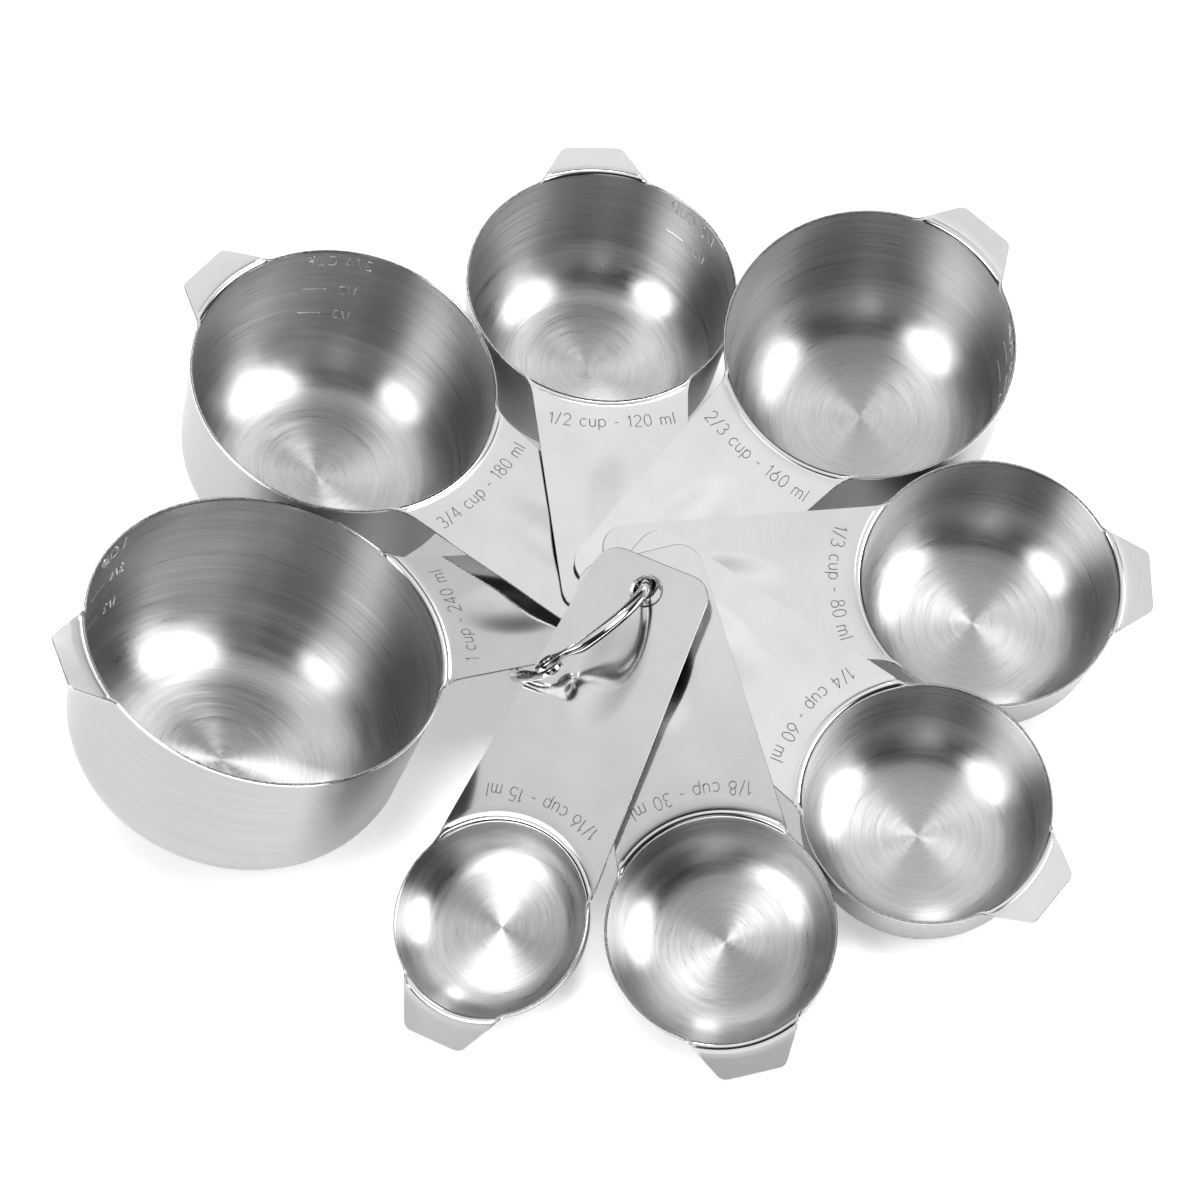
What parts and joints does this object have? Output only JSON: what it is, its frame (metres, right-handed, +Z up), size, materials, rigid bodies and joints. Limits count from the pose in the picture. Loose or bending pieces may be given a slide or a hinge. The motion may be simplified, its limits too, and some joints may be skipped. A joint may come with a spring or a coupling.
{
  "type": "measuring cup set",
  "caption": "Set of round stainless steel measuring cups with flat handles, fanned out on a hinged ring; each bowl holds a stated volume.",
  "frame": {"origin": "middle of the outline at table height, under the stack of handles", "axes": "+Z up; +X towards the third cup, along the longest overall size; +Y towards the half cup"},
  "size_m": [0.2604, 0.25, 0.0693],
  "materials": {
    "cup_steel": "satin",
    "ring_plating": "polished",
    "rivet_plating": "polished"
  },
  "bodies": {
    "one_cup": {"one_cup": "cup_steel"},
    "three_quarter_cup": {"three_quarter_cup": "cup_steel"},
    "half_cup": {"half_cup": "cup_steel"},
    "two_thirds_cup": {"two_thirds_cup": "cup_steel"},
    "third_cup": {"third_cup": "cup_steel"},
    "quarter_cup": {"quarter_cup": "cup_steel"},
    "eighth_cup": {"eighth_cup": "cup_steel"},
    "sixteenth_cup": {"sixteenth_cup": "cup_steel"},
    "ring": {"ring_carrier": "ring_plating", "ring_rivet": "rivet_plating"},
    "gate": {"ring_gate": "ring_plating"}
  },
  "joints": [
    {"name": "three_quarter_cup_swing", "type": "hinge", "parent": "one_cup", "child": "three_quarter_cup", "pos_m": [0.00075, -0.00366, 0.03093], "axis": [0.2165, -0.055, 0.9747], "range_deg": [-0.15, 0.15]},
    {"name": "half_cup_swing", "type": "hinge", "parent": "one_cup", "child": "half_cup", "pos_m": [0.00234, -0.00276, 0.03341], "axis": [0.1068, -0.0793, 0.9911], "range_deg": [-0.15, 0.15]},
    {"name": "two_thirds_cup_swing", "type": "hinge", "parent": "one_cup", "child": "two_thirds_cup", "pos_m": [0.00416, -0.00386, 0.03558], "axis": [-0.0054, -0.232, 0.9727], "range_deg": [-0.15, 0.15]},
    {"name": "third_cup_swing", "type": "hinge", "parent": "one_cup", "child": "third_cup", "pos_m": [0.00496, -0.00654, 0.0388], "axis": [0.0656, -0.2403, 0.9685], "range_deg": [-0.15, 0.15]},
    {"name": "quarter_cup_swing", "type": "hinge", "parent": "one_cup", "child": "quarter_cup", "pos_m": [0.00646, -0.00912, 0.04206], "axis": [0.0168, -0.221, 0.9751], "range_deg": [-0.15, 0.15]},
    {"name": "eighth_cup_swing", "type": "hinge", "parent": "one_cup", "child": "eighth_cup", "pos_m": [0.00643, -0.01073, 0.04505], "axis": [-0.1041, -0.3099, 0.9451], "range_deg": [-2.2, 0.15]},
    {"name": "sixteenth_cup_swing", "type": "hinge", "parent": "one_cup", "child": "sixteenth_cup", "pos_m": [0.00757, -0.01474, 0.0478], "axis": [-0.2618, -0.2794, 0.9238], "range_deg": [-0.7, 2.3]},
    {"name": "ring_turn", "type": "hinge", "parent": "one_cup", "child": "ring", "pos_m": [-0.00836, -0.01891, 0.03778], "axis": [-0.5658, 0.5646, 0.6008], "range_deg": [-24, 80]},
    {"name": "gate_swing", "type": "hinge", "parent": "ring", "child": "gate", "pos_m": [-0.01543, -0.03452, 0.0458], "axis": [-0.5658, 0.5646, 0.6008], "range_deg": [0, 75]}
  ]
}
